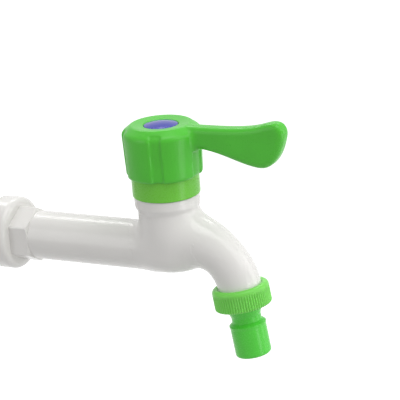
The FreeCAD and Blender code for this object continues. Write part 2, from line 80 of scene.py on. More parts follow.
class FaucetSizes(bpy.types.PropertyGroup):
    """Sizes of the forms that the scene adds to the solids or makes finer."""
    thread_pitch: FloatProperty(
        name="Thread pitch", description="Advance of the half-inch pipe thread in one turn",
        default=1.814 * MM, unit="LENGTH")
    thread_crest: FloatProperty(
        name="Thread crest", description="Radius over the thread's crests",
        default=10.45 * MM, unit="LENGTH")
    thread_start: FloatProperty(
        name="Thread start", description="Bare length at the spigot's open end",
        default=1.3 * MM, unit="LENGTH")
    thread_runout: FloatProperty(
        name="Thread run-out", description="Bare length between the thread and the flange",
        default=1.7 * MM, unit="LENGTH")
    rib_count: IntProperty(
        name="Ribs", description="Grip ribs around the outlet nut", default=66)
    rib_depth: FloatProperty(
        name="Rib depth", description="Depth of the valleys between the grip ribs",
        default=0.42 * MM, unit="LENGTH")
    rib_top: FloatProperty(
        name="Smooth rim", description="Height of the plain rim over the grip ribs",
        default=2.3 * MM, unit="LENGTH")
    edge_cell: FloatProperty(
        name="Edge cell", description="Size of the cells that the handle's soft edges are cut into",
        default=0.38 * MM, unit="LENGTH")
    edge_rounds: IntProperty(
        name="Edge rounds", description="Times that the handle's cells are smoothed", default=8)
    button_dome: FloatProperty(
        name="Button dome", description="Rise of the blue button from its rim to its middle",
        default=0.95 * MM, unit="LENGTH")


class FaucetBlend(bpy.types.PropertyGroup):
    """Forms of the white body that the soft blend follows, and how wide the blend is."""
    arm_radius: FloatProperty(
        name="Arm", description="Outer radius of the horizontal pipe", default=11 * MM, unit="LENGTH")
    arm_end: FloatProperty(
        name="Arm end", description="Centre of the arm's round end inside the chamber",
        default=80 * MM, unit="LENGTH")
    chamber_radius: FloatProperty(
        name="Chamber", description="Outer radius of the valve chamber", default=13.2 * MM, unit="LENGTH")
    floor_middle: FloatProperty(
        name="Floor middle", description="Height of the chamber's lowest point", default=-10.9 * MM,
        unit="LENGTH")
    floor_rim: FloatProperty(
        name="Floor rim", description="Height at which the floor's cone would meet the chamber's wall",
        default=-7 * MM, unit="LENGTH")
    floor_round: FloatProperty(
        name="Floor round", description="Radius between wall and floor", default=8 * MM, unit="LENGTH")
    flare: FloatProperty(
        name="Flare", description="Step of the neck's ring over the chamber", default=1.15 * MM,
        unit="LENGTH")
    flare_low: FloatProperty(
        name="Flare foot", description="Height where the neck starts to widen", default=18 * MM,
        unit="LENGTH")
    flare_high: FloatProperty(
        name="Flare top", description="Height where the neck's ring is reached", default=21.2 * MM,
        unit="LENGTH")
    spout_root: FloatProperty(
        name="Spout root", description="Height of the spout's line at the spindle axis", default=6.2 * MM,
        unit="LENGTH")
    spout_start: FloatProperty(
        name="Spout start", description="Where the spout's body starts, in radii of the chamber",
        default=0.53)
    spout_fall: FloatProperty(
        name="Spout fall", description="Fall of the spout's line before its bend",
        default=math.radians(8.56), unit="ROTATION")
    spout_straight: FloatProperty(
        name="Straight part", description="Length of the spout's line before its bend", default=12.797 * MM,
        unit="LENGTH")
    spout_bend: FloatProperty(
        name="Bend radius", description="Radius of the spout's line in its bend", default=23.5 * MM,
        unit="LENGTH")
    half_width: FloatProperty(
        name="Half width", description="Half width of the spout at its root", default=12.9 * MM,
        unit="LENGTH")
    half_height: FloatProperty(
        name="Half height", description="Half height of the spout at its root", default=13.7 * MM,
        unit="LENGTH")
    end_radius: FloatProperty(
        name="End radius", description="Radius that the spout narrows to", default=9.6 * MM, unit="LENGTH")
    narrowing: FloatProperty(
        name="Narrowing", description="Length over which the spout narrows", default=30.8 * MM, unit="LENGTH")
    arm_blend: FloatProperty(
        name="Arm blend", description="Reach of the blend between arm and chamber", default=7 * MM,
        unit="LENGTH")
    spout_reach: FloatProperty(
        name="Spout blend", description="Reach of the blend between spout and chamber", default=9 * MM,
        unit="LENGTH")
    cell: FloatProperty(
        name="Cell", description="Size of the cells that the blend is cut into", default=0.5 * MM,
        unit="LENGTH")


class FaucetColours(bpy.types.PropertyGroup):
    """Colours of the finishes, as sRGB hex."""
    white: StringProperty(name="White", description="Body moulding", default="#E6E4E1")
    handle: StringProperty(name="Handle green", description="Hub and lever", default="#50C234")
    collar: StringProperty(name="Collar green", description="Bonnet nut under the handle", default="#72CC40")
    nut: StringProperty(name="Nut green", description="Ribbed nut on the spout", default="#78DA56")
    nipple: StringProperty(name="Nipple green", description="Quick-connect nipple", default="#56D644")
    button: StringProperty(name="Button blue", description="Button in the hub's top", default="#252FA4")
    natural: StringProperty(name="Natural acetal", description="Valve cartridge", default="#DEDDD6")
    ceramic: StringProperty(name="Alumina", description="Sealing discs", default="#E9E7E0")
    rubber: StringProperty(name="Rubber", description="Seals and washer", default="#181818")
    steel: StringProperty(name="Steel", description="Screw and retaining ring", default="#B9BBBF")


class FaucetView(bpy.types.PropertyGroup):
    """Where the camera stands, as fitted to the photograph."""
    azimuth: FloatProperty(
        name="Azimuth", description="Turn of the camera about the upright from the faucet's side",
        default=math.radians(28.65), unit="ROTATION")
    elevation: FloatProperty(
        name="Elevation", description="Height of the camera above the level",
        default=math.radians(17.74), unit="ROTATION")
    roll: FloatProperty(
        name="Roll", description="Turn of the picture about the line of sight",
        default=math.radians(4.67), unit="ROTATION")
    distance: FloatProperty(
        name="Distance", description="Camera to the point that it looks at", default=0.8, unit="LENGTH")
    focal_pixels: FloatProperty(
        name="Focal length", description="Focal length in pixels of the square photograph", default=1853.61)
    aim_x: FloatProperty(
        name="Aim X", description="Looked-at point along the arm", default=104.17 * MM, unit="LENGTH")
    aim_z: FloatProperty(
        name="Aim Z", description="Looked-at point above the arm's axis", default=23.05 * MM, unit="LENGTH")


class FaucetStudio(bpy.types.PropertyGroup):
    """Powers of the lamps, the level of the surroundings, and the floor."""
    ambient: FloatProperty(
        name="Surroundings", description="Strength of the white surroundings as they light the object",
        default=0.4)
    key: FloatProperty(name="Key softbox", description="Front right, in watts", default=2.8)
    side: FloatProperty(name="Side softbox", description="Level with the spout, in watts", default=2.9)
    high: FloatProperty(name="High softbox", description="Above the camera, in watts", default=5.1)
    strip: FloatProperty(name="Strip", description="Long lamp above and behind, in watts", default=3.0)
    low: FloatProperty(name="Low softbox", description="Right, under the spout, in watts", default=1.3)
    fill: FloatProperty(name="Left fill", description="From the left, in watts", default=2.5)
    floor_colour: StringProperty(name="Floor colour", description="Paper of the floor", default="#CCCCCC")
    floor_glow: FloatProperty(
        name="Floor glow", description="Light that the floor adds where it is seen", default=0.9)
    floor_drop: FloatProperty(
        name="Floor drop", description="Floor below the inlet axis, to keep its shadow out of view",
        default=0.5, unit="LENGTH")


# A finish: its material, its tree and shader, the object coordinates that its patterns follow, and its
# last bump node, for a function that adds to it
Finish = namedtuple("Finish", "material tree shader place bump")

NOISE_LOW, NOISE_HIGH = 0.3, 0.7  # the part of a noise node's range that is stretched over a whole drift
GLOSS_UNDER, GLOSS_OVER = 0.03, 0.04  # how far the roughness drifts to each side of its mean
EDGE_EASE = 0.5  # share of the way to its neighbours' mean that each smoothing moves a point
LEAST = 1e-6  # keeps a division away from zero
ROUND_POINTS = 7  # points on a rounded corner of a profile

PHOTO_PIXELS = 400
SENSOR_MM = 36.0
FLOOR_REACH = 12.0
# Softboxes: turn from the camera to its right and rise in degrees, then distance, width and height in metres
SOFTBOXES = {
    "key": (60.0, 35.0, 1.1, 0.7, 0.7),
    "side": (92.0, 8.0, 1.1, 0.5, 0.9),
    "high": (25.0, 72.0, 1.1, 0.9, 0.6),
    "strip": (180.0, 49.0, 1.0, 1.0, 0.14),
    "low": (54.0, -13.0, 0.9, 0.25, 0.5),
    "fill": (-65.0, 15.0, 1.2, 0.6, 0.9),
}


def linear(hex_colour):
    """RGBA in linear light from an sRGB hex string."""
    channels = [int(hex_colour[i:i + 2], 16) / 255 for i in (1, 3, 5)]
    return [c / 12.92 if c <= 0.04045 else ((c + 0.055) / 1.055) ** 2.4 for c in channels] + [1.0]


def shade(hex_colour, share):
    """The same hex colour with each channel multiplied by a share."""
    channels = [min(255, round(int(hex_colour[i:i + 2], 16) * share)) for i in (1, 3, 5)]
    return "#%02X%02X%02X" % tuple(channels)


def add(tree, kind, inputs=None, **settings):
    """Add one node: settings are its own properties, inputs are values or the sockets that feed them."""
    node = tree.nodes.new(kind)
    for name, value in settings.items():
        setattr(node, name, value)
    for key, value in (inputs or {}).items():
        if isinstance(value, bpy.types.NodeSocket):
            tree.links.new(value, node.inputs[key])
        else:
            node.inputs[key].default_value = value
    return node


def dress(node, material):
    """Give a solid of the frame its finish."""
    mesh = frame["nodes"][node].data
    mesh.materials.clear()
    mesh.materials.append(material)


def soften(node, sizes):
    """Round every edge of a solid a little, as a polished mould leaves it: fine cells, then smoothing."""
    cells = frame["nodes"][node].modifiers.new("cells", "REMESH")
    cells.mode = "VOXEL"
    cells.voxel_size = sizes.edge_cell
    cells.use_smooth_shade = True
    edges = frame["nodes"][node].modifiers.new("edges", "SMOOTH")
    edges.factor = EDGE_EASE
    edges.iterations = sizes.edge_rounds


def smooth_step(low, high, values):
    """0 below low, 1 above high, and the cubic 3t^2 - 2t^3 between them."""
    t = np.clip((values - low) / (high - low), 0, 1)
    return t * t * (3 - 2 * t)


def solid_points(node):
    """All corners of a solid of the frame, as rows of x, y, z."""
    mesh = frame["nodes"][node].data
    points = np.empty(len(mesh.vertices) * 3)
    mesh.vertices.foreach_get("co", points)
    return points.reshape(-1, 3)


def about_axis(points, origin, axis):
    """Distance along an axis and distance from it, for rows of points."""
    along = (points - origin) @ axis
    away = np.linalg.norm(points - origin - along[:, None] * axis, axis=1)
    return along, away


def turned_grid(profile, columns, origin, axis, depth=None):
    """Points of a profile carried round an axis.

    Row i, column j lies at height h_i along the axis and at radius r_i - depth(i, j) from it, in the
    direction that turns evenly once round as j grows.
    """
    side = np.cross(axis, (0.0, 1.0, 0.0))
    side /= np.linalg.norm(side)
    across = np.cross(axis, side)
    angles = np.arange(columns) * (2 * math.pi / columns)
    radius = np.repeat(profile[:, :1], columns, axis=1)
    if depth is not None:
        radius = radius - depth(profile, angles)
    outward = np.cos(angles)[:, None] * side + np.sin(angles)[:, None] * across
    return origin + radius[..., None] * outward[None] + (profile[:, 1, None] * axis)[:, None, :]


def fillet_run(corner, start, end, radius, count=ROUND_POINTS):
    """Points of the arc of a radius that rounds a corner between the ways to start and end."""
    corner, start, end = (np.array(p, float) for p in (corner, start, end))
    back = (start - corner) / np.linalg.norm(start - corner)
    ahead = (end - corner) / np.linalg.norm(end - corner)
    half = math.acos(float(np.clip(back @ ahead, -1, 1))) / 2
    middle = (back + ahead) / np.linalg.norm(back + ahead)
    centre = corner + middle * radius / math.sin(half)
    first = corner + back * radius / math.tan(half) - centre
    last = corner + ahead * radius / math.tan(half) - centre
    sweep = math.pi - 2 * half
    t = np.linspace(0, 1, count)[:, None]
    return centre + (np.sin((1 - t) * sweep) * first + np.sin(t * sweep) * last) / math.sin(sweep)


def rounded_profile(corners, step):
    """Closed profile of (radius, height) points, with rounded corners and straight runs cut by step."""
    count = len(corners)
    runs = []
    for i in range(count):
        x, y, radius = corners[i]
        if radius:
            runs.append(fillet_run((x, y), corners[i - 1][:2], corners[(i + 1) % count][:2], radius))
        else:
            runs.append(np.array([[x, y]]))
    points = []
    for i in range(count):
        here, after = runs[i], runs[(i + 1) % count]
        gap = after[0] - here[-1]
        cuts = max(1, int(np.linalg.norm(gap) / step))
        points.append(here)
        points.append(here[-1] + gap * (np.arange(1, cuts) / cuts)[:, None])
    return np.concatenate(points)


def surface_piece(name, points, material, body, joined=(True, True), capped=False, replaced=()):
    """Mesh from a grid of points.

    joined tells which of the grid's two ways closes on itself, and capped shuts the ends.
    """
    rows, columns = points.shape[:2]
    index = np.arange(rows * columns).reshape(rows, columns)
    if joined[0]:
        index = np.concatenate([index, index[:1]], 0)
    if joined[1]:
        index = np.concatenate([index, index[:, :1]], 1)
    quads = np.stack([index[:-1, :-1], index[:-1, 1:], index[1:, 1:], index[1:, :-1]], -1).reshape(-1, 4)
    faces = quads.tolist()
    if capped:
        faces += [list(range(columns))[::-1], list(range((rows - 1) * columns, rows * columns))]
    mesh = bpy.data.meshes.new(name)
    mesh.from_pydata(points.reshape(-1, 3), [], faces)
    mesh.polygons.foreach_set("use_smooth", np.ones(len(faces), bool))
    mesh.update()
    piece = bpy.data.objects.new(name, mesh)
    bpy.context.scene.collection.objects.link(piece)
    mesh.materials.append(material)
    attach(piece, body)
    if replaced:
        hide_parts(*replaced)
    return piece


def arm_depth(place, form):
    """How far points lie outside the arm: distance from its axis, or from its end point, less its radius."""
    over = np.maximum(place[..., 0] - form.arm_end, 0)
    return np.sqrt(over ** 2 + place[..., 1] ** 2 + place[..., 2] ** 2) - form.arm_radius


def chamber_depth(place, form):
    """How far points lie outside the chamber: the larger of wall and floor cone, rounded where they meet.

    The wall steps out by the flare, as the cubic smooth step of the height.
    """
    height = place[..., 2]
    away = np.hypot(place[..., 0] - HINGE[0], place[..., 1])
    away = away - form.flare * smooth_step(form.flare_low, form.flare_high, height)
    rise = form.floor_rim - form.floor_middle
    share = rise / math.hypot(rise, form.chamber_radius)
    wall = away - form.chamber_radius
    floor = away * share - (height - form.floor_middle) * math.sqrt(1 - share ** 2)
    a, b = wall + form.floor_round, floor + form.floor_round
    corner = (a - b * share > 0) & (b - a * share > 0)
    arc = np.sqrt(np.maximum((a * a + b * b - 2 * a * b * share) / (1 - share ** 2), 0)) - form.floor_round
    return np.where(corner, arc, np.maximum(wall, floor))


def spout_depth(place, form):
    """How far points lie outside the spout: an ellipse carried along a falling line and round a bend.

    Its half axes narrow to the end radius with the cubic smooth step of the run along the line. Before
    its start, spout_start radii of the chamber from the spindle axis, it ends in a round.
    """
    ahead = np.array([math.cos(form.spout_fall), -math.sin(form.spout_fall)])
    above = np.array([-ahead[1], ahead[0]])
    flat = place[..., [0, 2]] - np.array([HINGE[0], form.spout_root])
    run, up = flat @ ahead, flat @ above
    x, z = run - form.spout_straight, up + form.spout_bend
    turned = x > 0
    up = np.where(turned, np.hypot(x, z) - form.spout_bend, up)
    run = np.where(turned, form.spout_straight + form.spout_bend * np.arctan2(x, z), run)
    ease = smooth_step(0, form.narrowing, run)
    wide = form.half_width + ease * (form.end_radius - form.half_width)
    tall = form.half_height + ease * (form.end_radius - form.half_height)
    back = np.minimum(run - form.spout_start * form.chamber_radius, 0)
    away = np.sqrt(place[..., 1] ** 2 + up ** 2 + back ** 2)
    share = np.sqrt((place[..., 1] / wide) ** 2 + (up / tall) ** 2 + (back / wide) ** 2)
    return away - away / np.maximum(share, LEAST)


def soft_least(a, b, reach):
    """The smaller of a and b, less reach / 6 * (1 - |a - b| / reach)^3 where they differ by under reach."""
    near = np.maximum(reach - np.abs(a - b), 0) / reach
    return np.minimum(a, b) - near ** 3 * reach / 6


def zero_surface(values, low, cell):
    """Closed quads round the cells of a grid where its values are negative.

    Each cell that has both signs at its corners gets one point, the mean of the places where its edges
    cross zero. Each grid edge that crosses zero gets the quad of the four cells around it.
    """
    negative = values < 0
    cells = tuple(n - 1 for n in values.shape)
    total = np.zeros(cells + (3,))
    count = np.zeros(cells)
    for axis in range(3):
        ahead = [slice(None)] * 3
        behind = [slice(None)] * 3
        ahead[axis], behind[axis] = slice(1, None), slice(None, -1)
        a, b = values[tuple(behind)], values[tuple(ahead)]
        cross = (a < 0) != (b < 0)
        share = np.where(cross, a / np.where(cross, a - b, 1), 0)
        point = np.stack(np.meshgrid(*[np.arange(n, dtype=float) for n in a.shape], indexing="ij"), -1)
        point[..., axis] += share
        others = [k for k in range(3) if k != axis]
        for i in (0, 1):
            for j in (0, 1):
                pick = [slice(None)] * 3
                pick[others[0]] = slice(i, cells[others[0]] + i)
                pick[others[1]] = slice(j, cells[others[1]] + j)
                hit = cross[tuple(pick)]
                total += np.where(hit[..., None], point[tuple(pick)], 0)
                count += hit
    used = count > 0
    index = np.full(cells, -1)
    index[used] = np.arange(used.sum())
    points = low + cell * total[used] / count[used][:, None]
    faces = []
    for axis in range(3):
        one, two = (axis + 1) % 3, (axis + 2) % 3
        inner = [slice(None)] * 3
        inner[one] = inner[two] = slice(1, -1)
        a = np.moveaxis(negative[tuple(inner)], axis, 0)
        cross = np.argwhere(a[:-1] != a[1:])
        outward = a[:-1][tuple(cross.T)]
        where = np.zeros((len(cross), 3), int)
        where[:, axis] = cross[:, 0]
        rest = [k for k in range(3) if k != axis]
        where[:, rest[0]] = cross[:, 1]
        where[:, rest[1]] = cross[:, 2]
        quad = []
        for step_one, step_two in ((0, 0), (1, 0), (1, 1), (0, 1)):
            corner = where.copy()
            corner[:, one] += step_one
            corner[:, two] += step_two
            quad.append(index[tuple(corner.T)])
        quad = np.stack(quad, 1)
        quad[~outward] = quad[~outward][:, ::-1]
        faces.append(quad)
    return points, np.concatenate(faces)


def moulded(name, colour, roughness, ior, drift_mm, drift, grain_mm, grain_depth_mm, sink_mm, sink_depth_mm):
    """Plastic as it leaves a mould.

    The tone drifts a little over drift_mm, because pigment spreads unevenly in the melt. The gloss and
    a fine bump follow the mould's own grain. A slow bump of sink_mm stands for the shallow sink marks
    that bend a reflection on any thick moulding.
    """
    material = bpy.data.materials.new(name)
    material.use_nodes = True
    tree = material.node_tree
    shader = tree.nodes["Principled BSDF"]
    shader.inputs["IOR"].default_value = ior
    place = add(tree, "ShaderNodeTexCoord").outputs["Object"]
    cloud = add(tree, "ShaderNodeTexNoise", {"Vector": place, "Scale": 1 / (drift_mm * MM), "Detail": 3.0})
    spread = add(tree, "ShaderNodeMapRange", {0: cloud.outputs[0], 1: NOISE_LOW, 2: NOISE_HIGH})
    tone = add(tree, "ShaderNodeMix", {
        0: spread.outputs[0], 6: linear(colour), 7: linear(shade(colour, 1 - drift))}, data_type="RGBA")
    grain = add(tree, "ShaderNodeTexNoise", {"Vector": place, "Scale": 1 / (grain_mm * MM), "Detail": 2.0})
    gloss = add(tree, "ShaderNodeMapRange", {
        0: grain.outputs[0], 1: NOISE_LOW, 2: NOISE_HIGH,
        3: roughness - GLOSS_UNDER, 4: roughness + GLOSS_OVER})
    sink = add(tree, "ShaderNodeTexNoise", {"Vector": place, "Scale": 1 / (sink_mm * MM), "Detail": 1.0})
    slow = add(tree, "ShaderNodeBump", {"Height": sink.outputs[0], "Distance": sink_depth_mm * MM})
    fine = add(tree, "ShaderNodeBump", {
        "Height": grain.outputs[0], "Distance": grain_depth_mm * MM, "Normal": slow.outputs[0]})
    tree.links.new(tone.outputs[2], shader.inputs["Base Color"])
    tree.links.new(gloss.outputs[0], shader.inputs["Roughness"])
    tree.links.new(fine.outputs[0], shader.inputs["Normal"])
    return Finish(material, tree, shader, place, fine)


def white_abs(colours):
    """Injection-moulded ABS, white: an even, soft gloss whose highlights run long on the pipe.

    The seam where the two mould halves meet stands a few hundredths proud in the upright middle plane.
    """
    seam_half_width, seam_height = 0.22 * MM, 0.03 * MM
    finish = moulded("moulded_white_abs", colours.white, roughness=0.22, ior=1.50, drift_mm=18, drift=0.015,
                     grain_mm=0.6, grain_depth_mm=0.0003, sink_mm=11, sink_depth_mm=0.02)
    tree = finish.tree
    spot = add(tree, "ShaderNodeSeparateXYZ", {"Vector": finish.place})
    off = add(tree, "ShaderNodeMath", {0: spot.outputs["Y"]}, operation="ABSOLUTE")
    ridge = add(tree, "ShaderNodeMapRange", {0: off.outputs[0], 1: 0.0, 2: seam_half_width, 3: 1.0, 4: 0.0})
    seam = add(tree, "ShaderNodeBump", {
        "Height": ridge.outputs[0], "Distance": seam_height, "Normal": finish.bump.outputs[0]})
    tree.links.new(seam.outputs[0], finish.shader.inputs["Normal"])
    return finish.material


def green_abs(name, colour, roughness):
    """Injection-moulded ABS, mass-coloured green: saturated in the shade, with pale soft highlights."""
    finish = moulded(name, colour, roughness=roughness, ior=1.45, drift_mm=14, drift=0.04,
                     grain_mm=0.5, grain_depth_mm=0.0002, sink_mm=9, sink_depth_mm=0.02)
    finish.shader.inputs["Specular IOR Level"].default_value = 0.36
    return finish.material


def button_styrene(colours):
    """Polished polystyrene, blue: the glossiest piece, whose dome shows a pale sheen of the surroundings."""
    finish = moulded("moulded_blue_styrene", colours.button, roughness=0.14, ior=1.59, drift_mm=6, drift=0.06,
                     grain_mm=0.4, grain_depth_mm=0.0003, sink_mm=5, sink_depth_mm=0.008)
    finish.shader.inputs["Specular IOR Level"].default_value = 0.35
    return finish.material


def natural_acetal(colours):
    """Uncoloured acetal of the cartridge: waxy off-white with a satin surface."""
    finish = moulded("moulded_natural_acetal", colours.natural, roughness=0.42, ior=1.48, drift_mm=8,
                     drift=0.05, grain_mm=0.4, grain_depth_mm=0.001, sink_mm=6, sink_depth_mm=0.01)
    return finish.material


def lapped_alumina(colours):
    """Sintered and lapped alumina: bone white, cool sheen and a faint speckle of grain."""
    speckle_size, smoothest, roughest = 0.25 * MM, 0.16, 0.26
    finish = moulded("lapped_alumina", colours.ceramic, roughness=0.20, ior=1.76, drift_mm=3, drift=0.04,
                     grain_mm=0.15, grain_depth_mm=0.0004, sink_mm=9, sink_depth_mm=0.001)
    tree = finish.tree
    speckle = add(tree, "ShaderNodeTexVoronoi", {"Vector": finish.place, "Scale": 1 / speckle_size})
    gloss = add(tree, "ShaderNodeMapRange", {0: speckle.outputs[0], 3: smoothest, 4: roughest})
    tree.links.new(gloss.outputs[0], finish.shader.inputs["Roughness"])
    return finish.material


def nitrile_rubber(colours):
    """Compression-moulded nitrile rubber: near black, dull, with a grey bloom in patches."""
    finish = moulded("moulded_nitrile_rubber", colours.rubber, roughness=0.58, ior=1.52, drift_mm=4,
                     drift=0.3, grain_mm=0.3, grain_depth_mm=0.003, sink_mm=3, sink_depth_mm=0.005)
    finish.shader.inputs["Sheen Weight"].default_value = 0.15
    return finish.material


def bright_steel(colours):
    """Cold-formed zinc-plated steel: bright grey metal with fine drawing lines about the spindle."""
    line_spacing, line_depth = 0.9 * MM, 0.001 * MM
    finish = moulded("zinc_plated_steel", colours.steel, roughness=0.27, ior=1.50, drift_mm=3, drift=0.12,
                     grain_mm=0.2, grain_depth_mm=0.0008, sink_mm=4, sink_depth_mm=0.001)
    tree = finish.tree
    finish.shader.inputs["Metallic"].default_value = 1.0
    centred = add(tree, "ShaderNodeMapping", {"Vector": finish.place, "Location": tuple(-HINGE)})
    lines = add(tree, "ShaderNodeTexWave", {"Vector": centred.outputs[0], "Scale": 1 / line_spacing},
                wave_type="RINGS", rings_direction="Z")
    drawn = add(tree, "ShaderNodeBump", {
        "Height": lines.outputs[0], "Distance": line_depth, "Normal": finish.bump.outputs[0]})
    tree.links.new(drawn.outputs[0], finish.shader.inputs["Normal"])
    return finish.material


class FAUCET_OT_mouldings(bpy.types.Operator):
    """Give the white body, the collar, the handle and the nipple their moulded plastics."""
    bl_idname = "faucet.mouldings"
    bl_label = "Moulded plastics"

    def execute(self, context):
        colours = context.scene.faucet_colours
        dress("body", white_abs(colours))
        dress("handle", green_abs("moulded_green_abs_handle", colours.handle, 0.30))
        soften("handle", context.scene.faucet_sizes)
        dress("bonnet_nut", green_abs("moulded_green_abs_collar", colours.collar, 0.28))
        dress("hose_nipple", green_abs("moulded_green_abs_nipple", colours.nipple, 0.26))
        return {"FINISHED"}


class FAUCET_OT_cartridge(bpy.types.Operator):
    """Give the hidden valve pieces their acetal, alumina, rubber and steel."""
    bl_idname = "faucet.cartridge"
    bl_label = "Valve cartridge"

    def execute(self, context):
        colours = context.scene.faucet_colours
        finishes = {
            natural_acetal(colours): ("cartridge_housing", "spindle", "thrust_washer"),
            lapped_alumina(colours): ("fixed_disc", "moving_disc"),
            nitrile_rubber(colours): ("housing_o_ring", "seat_seal", "spindle_o_ring_lower",
                                      "spindle_o_ring_upper", "nipple_washer"),
            bright_steel(colours): ("retaining_ring", "handle_screw"),
        }
        for material, nodes in finishes.items():
            for node in nodes:
                dress(node, material)
        return {"FINISHED"}


class FAUCET_OT_thread(bpy.types.Operator):
    """Wind the pipe thread's ridge round the inlet spigot."""
    bl_idname = "faucet.thread"
    bl_label = "Inlet thread"

    def execute(self, context):
        """A rounded V profile carried along a right-handed helix about the inlet axis.

        With t the turn in radians, the ridge's middle is at x = first + pitch * t / (2 pi). Round the
        profile by the angle v, the point moves along x by width / 2 * cos v. It moves outwards by
        height * sin(v)^sharpness where sin v is positive, and stays under the spigot's face elsewhere.
        Height and width fade in and out over the first and last half turn.
        """
        turn_cuts, round_cuts = 64, 16
        sunk, seat_share, sharpness = 0.08 * MM, 0.2, 1.2
        foot_share, least_width = 0.94, 0.3
        sizes = context.scene.faucet_sizes
        root = MOUNTS["inlet_thread"]["dims"]["r_mm"] * MM
        first = CAD_BOX[0][0] + sizes.thread_start
        turns = (-sizes.thread_runout - first) / sizes.thread_pitch
        t = np.linspace(0, turns * 2 * math.pi, int(turns * turn_cuts))[:, None]
        v = (np.arange(round_cuts) * (2 * math.pi / round_cuts))[None, :]
        fade = smooth_step(0, math.pi, t) * smooth_step(0, math.pi, turns * 2 * math.pi - t)
        height = (sizes.thread_crest - root) * fade
        width = foot_share * sizes.thread_pitch * (least_width + (1 - least_width) * fade)
        rise = np.where(np.sin(v) > 0, height * np.abs(np.sin(v)) ** sharpness, -sunk * np.abs(np.sin(v)))
        radius = root - seat_share * sunk + rise
        x = first + sizes.thread_pitch * t / (2 * math.pi) + width / 2 * np.cos(v)
        points = np.stack([x, radius * np.cos(t), radius * np.sin(t)], -1)
        material = frame["nodes"]["body"].data.materials[0]
        surface_piece("thread_ridge", points, material, FIXED_BODY,
                      joined=(False, True), capped=True)
        return {"FINISHED"}


class FAUCET_OT_nut(bpy.types.Operator):
    """Turn the outlet nut with its soft grip ribs in place of the plain solid."""
    bl_idname = "faucet.nut"
    bl_label = "Ribbed outlet nut"

    def execute(self, context):
        """A closed ring profile carried round the nozzle axis.

        The outer wall's radius dips by depth * (1 - |cos(n a / 2)|) at the angle a, which gives n
        round-topped ribs with narrow valleys, and the dip fades out under the smooth rim. The profile's
        hole follows the body's own spigot and spout, with a little clearance.
        """
        lip, thread_room, mouth_room = 2.2 * MM, 0.05 * MM, 0.03 * MM  # nipple's seat, and clearances
        throat_drop, throat_depth, throat_cone = 0.35 * MM, 0.8 * MM, 1.4 * MM  # from the rim inwards
        spigot_stop, spout_over = 2.5 * MM, 0.1 * MM  # where the spigot and the spout are measured
        rim_width, rim_round, foot_round = 2.3 * MM, 1.9 * MM, 0.7 * MM
        edge_round, mouth_round, run_step, cuts_per_rib = 0.2 * MM, 0.3 * MM, 0.6 * MM, 10
        wall_low, wall_high, rib_fade = 1.0 * MM, 0.2 * MM, 0.5 * MM
        sizes = context.scene.faucet_sizes
        mount = MOUNTS["hose_nipple"]
        axis = -np.array(mount["axis"], float)
        origin = np.array(mount["pos_m"], float)
        along, away = about_axis(solid_points("outlet_nut"), origin, axis)
        low, high, outer, hole = along.min(), along.max(), away.max(), away.min()
        spigot = about_axis(solid_points("body"), origin, axis)
        near = (spigot[0] > low) & (spigot[0] < high - spigot_stop) & (spigot[1] < outer)
        inner = spigot[1][near].max() + thread_room
        throat = high - throat_drop
        spout = ((spigot[0] > throat - throat_depth) & (spigot[0] < throat + spout_over)
                 & (spigot[1] < inner))
        mouth = spigot[1][spout].max() + mouth_room
        corners = [
            (hole, low, edge_round), (outer, low, foot_round), (outer, high, rim_round),
            (outer - rim_width, high, mouth_round), (mouth, throat, edge_round),
            (mouth, throat - throat_depth, 0), (inner, throat - throat_cone, 0), (inner, low + lip, 0),
            (hole, low + lip, 0)]
        profile = rounded_profile(corners, run_step)

        def valleys(profile, angles):
            """Depth of the dip for each point of the profile (rows) and each angle (columns)."""
            wall = smooth_step(outer - wall_low, outer - wall_high, profile[:, 0])
            top = high - sizes.rib_top
            under = 1 - smooth_step(top - rib_fade, top + rib_fade, profile[:, 1])
            dip = 1 - np.abs(np.cos(angles * sizes.rib_count / 2))
            return sizes.rib_depth * (wall * under)[:, None] * dip[None, :]

        points = turned_grid(profile, sizes.rib_count * cuts_per_rib, origin, axis, valleys)
        colours = context.scene.faucet_colours
        surface_piece("ribbed_nut", points, green_abs("moulded_green_abs_nut", colours.nut, 0.30),
                      FIXED_BODY, replaced=("outlet_nut",))
        return {"FINISHED"}


